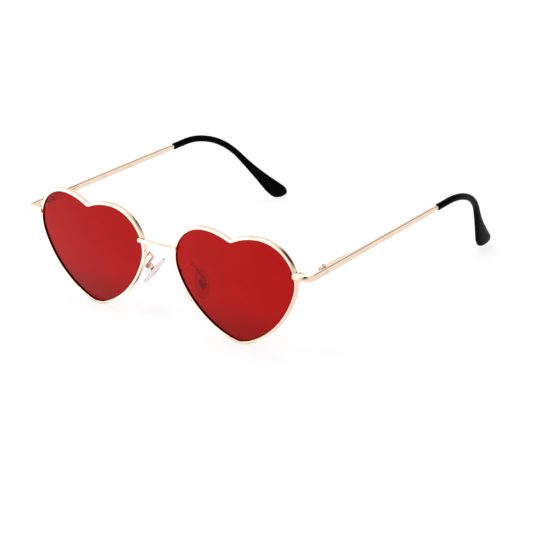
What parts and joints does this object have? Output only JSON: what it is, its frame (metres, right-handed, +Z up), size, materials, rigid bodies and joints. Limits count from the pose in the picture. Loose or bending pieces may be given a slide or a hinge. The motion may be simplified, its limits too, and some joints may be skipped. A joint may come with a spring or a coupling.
{
  "type": "sunglasses",
  "caption": "Heart shaped sunglasses: thin grooved metal rims, red tinted lenses, rocking nose pads, and spring hinged temples with black sleeve tips that fold behind the front.",
  "frame": {"origin": "on the table under the middle of the bounding box of the open glasses", "axes": "+X to the wearer's left, +Y from the lenses back to the temple tips, +Z up"},
  "size_m": [0.1424, 0.1622, 0.0477],
  "materials": {
    "gold_metal": "polished, pale rose gold",
    "red_lens": "polished, tinted see-through",
    "black_tip": "glossy moulded sleeve",
    "clear_pad": "clear soft silicone",
    "pad_core": "satin insert",
    "steel": "turned steel"
  },
  "bodies": {
    "front": {"bridge": "gold_metal", "left_rim": "gold_metal", "left_lens": "red_lens", "left_end_piece": "gold_metal", "left_upper_closing_block": "gold_metal", "left_lower_closing_block": "gold_metal", "left_rim_lock_screw": "steel", "left_pad_arm": "gold_metal", "left_pad_box": "gold_metal", "left_pad_screw": "steel", "left_hinge_fork": "gold_metal", "right_rim": "gold_metal", "right_lens": "red_lens", "right_end_piece": "gold_metal", "right_upper_closing_block": "gold_metal", "right_lower_closing_block": "gold_metal", "right_rim_lock_screw": "steel", "right_pad_arm": "gold_metal", "right_pad_box": "gold_metal", "right_pad_screw": "steel", "right_hinge_fork": "gold_metal"},
    "left_hinge_screw": {"left_hinge_screw": "steel"},
    "left_tongue": {"left_spring_tongue": "gold_metal", "left_rod_collar": "steel", "left_hinge_spring": "steel"},
    "left_temple": {"left_stop_bush": "steel", "left_spring_case": "gold_metal", "left_temple": "gold_metal", "left_temple_tip": "black_tip"},
    "left_pad": {"left_nose_pad": "clear_pad", "left_pad_core": "pad_core"},
    "right_hinge_screw": {"right_hinge_screw": "steel"},
    "right_tongue": {"right_spring_tongue": "gold_metal", "right_rod_collar": "steel", "right_hinge_spring": "steel"},
    "right_temple": {"right_stop_bush": "steel", "right_spring_case": "gold_metal", "right_temple": "gold_metal", "right_temple_tip": "black_tip"},
    "right_pad": {"right_nose_pad": "clear_pad", "right_pad_core": "pad_core"}
  },
  "joints": [
    {"name": "left_flex", "type": "hinge", "parent": "front", "child": "left_hinge_screw", "pos_m": [0.06879, -0.06454, 0.03515], "axis": [0, -0.0332, 0.9995], "range_deg": [-12, 0], "stiffness_Nm_per_rad": 0.15, "springref_deg": 8.59},
    {"name": "left_fold", "type": "hinge", "parent": "left_hinge_screw", "child": "left_tongue", "pos_m": [0.06879, -0.06454, 0.03515], "axis": [0, -0.0332, 0.9995], "range_deg": [0, 89]},
    {"name": "left_spring_slide", "type": "slide", "parent": "left_tongue", "child": "left_temple", "axis": [-0.0218, 0.9992, 0.0331], "range_m": [0, 0.00047], "deforming": ["left_hinge_spring"]},
    {"name": "left_pad_rock", "type": "hinge", "parent": "front", "child": "left_pad", "pos_m": [0.01386, -0.06776, 0.01882], "axis": [0.4798, 0.8516, -0.2114], "range_deg": [-8, 8]},
    {"name": "right_flex", "type": "hinge", "parent": "front", "child": "right_hinge_screw", "pos_m": [-0.06879, -0.06454, 0.03515], "axis": [0, 0.0332, -0.9995], "range_deg": [-12, 0], "stiffness_Nm_per_rad": 0.15, "springref_deg": 8.59},
    {"name": "right_fold", "type": "hinge", "parent": "right_hinge_screw", "child": "right_tongue", "pos_m": [-0.06879, -0.06454, 0.03515], "axis": [0, 0.0332, -0.9995], "range_deg": [0, 85]},
    {"name": "right_spring_slide", "type": "slide", "parent": "right_tongue", "child": "right_temple", "axis": [0.0218, 0.9992, 0.0331], "range_m": [0, 0.00047], "deforming": ["right_hinge_spring"]},
    {"name": "right_pad_rock", "type": "hinge", "parent": "front", "child": "right_pad", "pos_m": [-0.01386, -0.06776, 0.01882], "axis": [0.4798, -0.8516, 0.2114], "range_deg": [-8, 8]}
  ],
  "couplings": [
    {"joint": "left_spring_slide", "follows": "left_flex", "m_per_rad": -0.002213},
    {"joint": "right_spring_slide", "follows": "right_flex", "m_per_rad": -0.002213}
  ]
}
